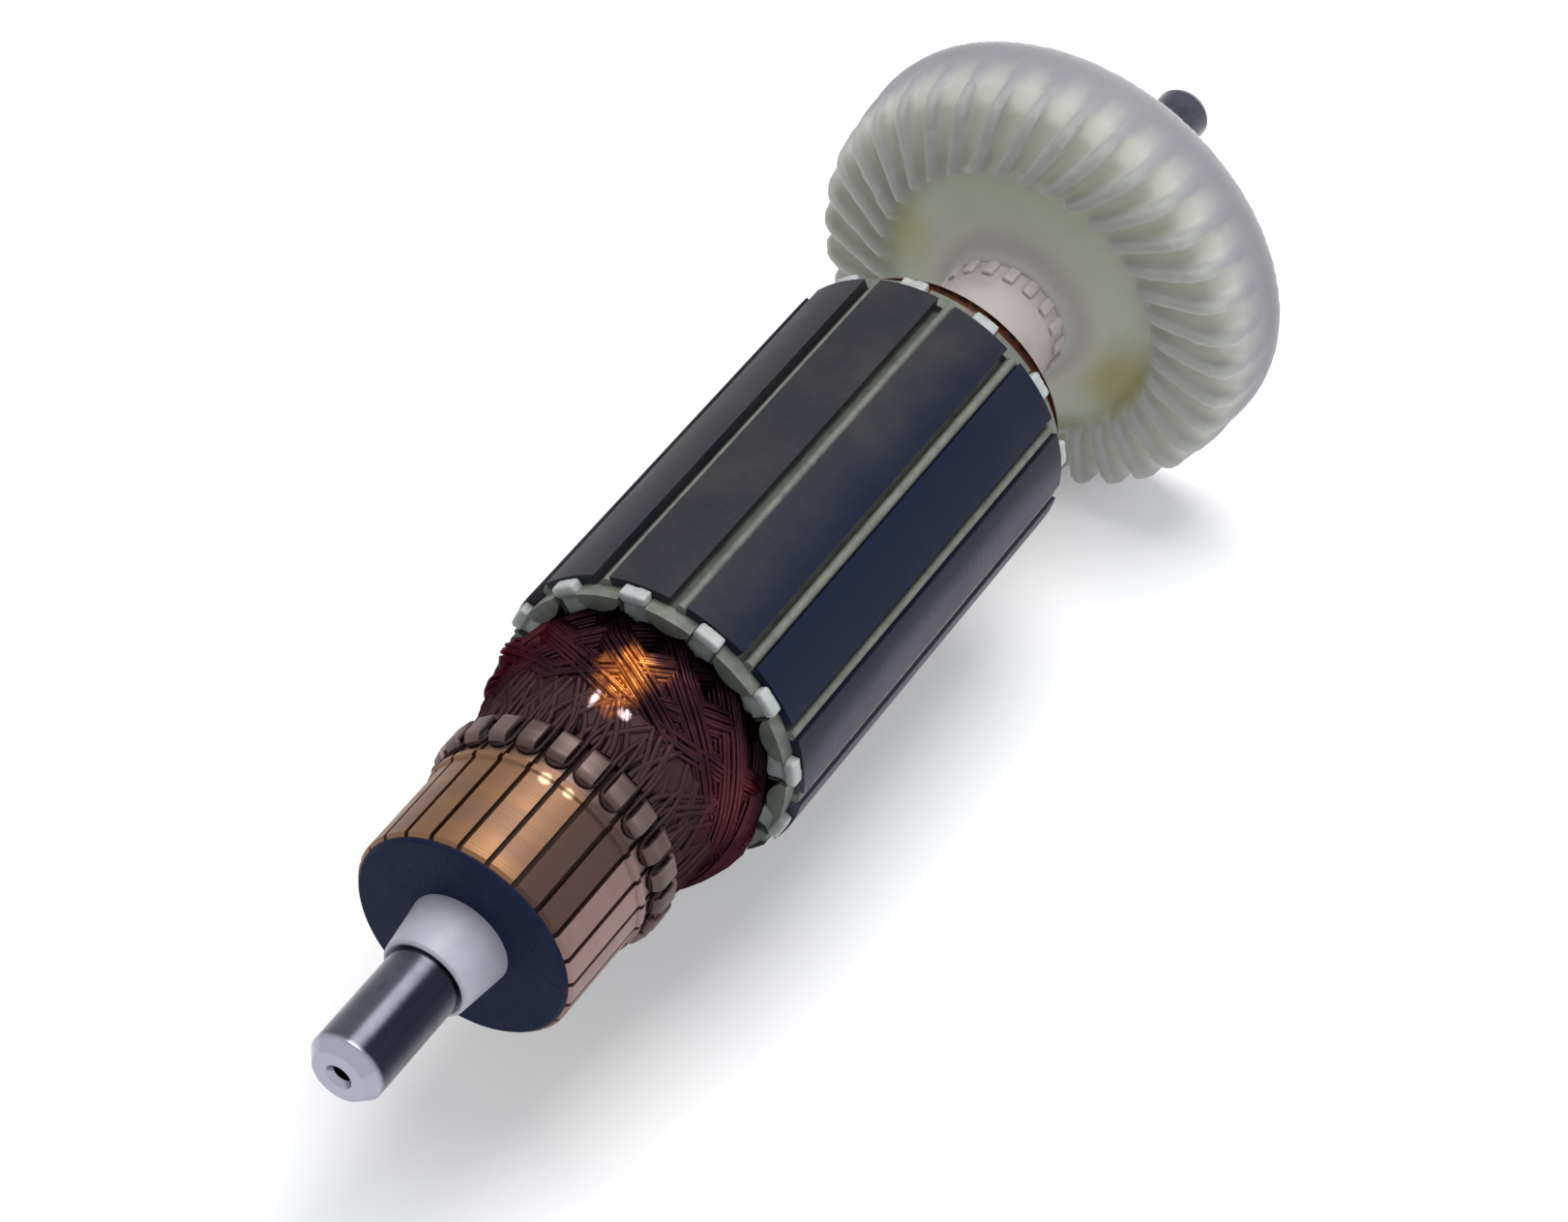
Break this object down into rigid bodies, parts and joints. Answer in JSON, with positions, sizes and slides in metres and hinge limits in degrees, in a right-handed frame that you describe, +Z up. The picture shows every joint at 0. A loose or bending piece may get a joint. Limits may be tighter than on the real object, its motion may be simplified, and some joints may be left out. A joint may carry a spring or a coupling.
{
  "type": "motor armature",
  "caption": "Wound armature of a small universal motor: shaft, commutator, slotted laminated core with enamelled winding, and a moulded cooling fan.",
  "frame": {"origin": "on the shaft axis, at the middle of the bearing journal at the commutator end", "axes": "+Y along the shaft from the commutator to the drive end, +Z up, +X to the right seen from the commutator end"},
  "size_m": [0.0534, 0.169, 0.0534],
  "materials": {
    "shaft_steel": "ground and polished steel",
    "bar_copper": "copper, turned, with a burnished brush track",
    "moulding": "dark phenolic moulding",
    "sleeve_plastic": "white moulded insulating sleeve",
    "core_steel": "stacked silicon-steel laminations under thin varnish",
    "insulator_plastic": "white moulded end insulator",
    "slot_liner": "varnished insulating paper",
    "slot_wedge": "varnished pressboard wedge",
    "winding_wire": "enamelled copper wire under impregnating varnish",
    "fan_nylon": "translucent natural nylon"
  },
  "bodies": {
    "root": {"shaft": "shaft_steel", "front_sleeve": "sleeve_plastic", "commutator_moulding": "moulding", "commutator_bar_01": "bar_copper", "commutator_bar_02": "bar_copper", "commutator_bar_03": "bar_copper", "commutator_bar_04": "bar_copper", "commutator_bar_05": "bar_copper", "commutator_bar_06": "bar_copper", "commutator_bar_07": "bar_copper", "commutator_bar_08": "bar_copper", "commutator_bar_09": "bar_copper", "commutator_bar_10": "bar_copper", "commutator_bar_11": "bar_copper", "commutator_bar_12": "bar_copper", "commutator_bar_13": "bar_copper", "commutator_bar_14": "bar_copper", "commutator_bar_15": "bar_copper", "commutator_bar_16": "bar_copper", "commutator_bar_17": "bar_copper", "commutator_bar_18": "bar_copper", "commutator_bar_19": "bar_copper", "commutator_bar_20": "bar_copper", "commutator_bar_21": "bar_copper", "commutator_bar_22": "bar_copper", "commutator_bar_23": "bar_copper", "commutator_bar_24": "bar_copper", "lamination_stack": "core_steel", "front_end_insulator": "insulator_plastic", "rear_end_insulator": "insulator_plastic", "slot_liner_01": "slot_liner", "slot_liner_02": "slot_liner", "slot_liner_03": "slot_liner", "slot_liner_04": "slot_liner", "slot_liner_05": "slot_liner", "slot_liner_06": "slot_liner", "slot_liner_07": "slot_liner", "slot_liner_08": "slot_liner", "slot_liner_09": "slot_liner", "slot_liner_10": "slot_liner", "slot_liner_11": "slot_liner", "slot_liner_12": "slot_liner", "slot_wedge_01": "slot_wedge", "slot_wedge_02": "slot_wedge", "slot_wedge_03": "slot_wedge", "slot_wedge_04": "slot_wedge", "slot_wedge_05": "slot_wedge", "slot_wedge_06": "slot_wedge", "slot_wedge_07": "slot_wedge", "slot_wedge_08": "slot_wedge", "slot_wedge_09": "slot_wedge", "slot_wedge_10": "slot_wedge", "slot_wedge_11": "slot_wedge", "slot_wedge_12": "slot_wedge", "armature_winding": "winding_wire", "rear_sleeve": "sleeve_plastic", "fan": "fan_nylon"}
  },
  "joints": []
}
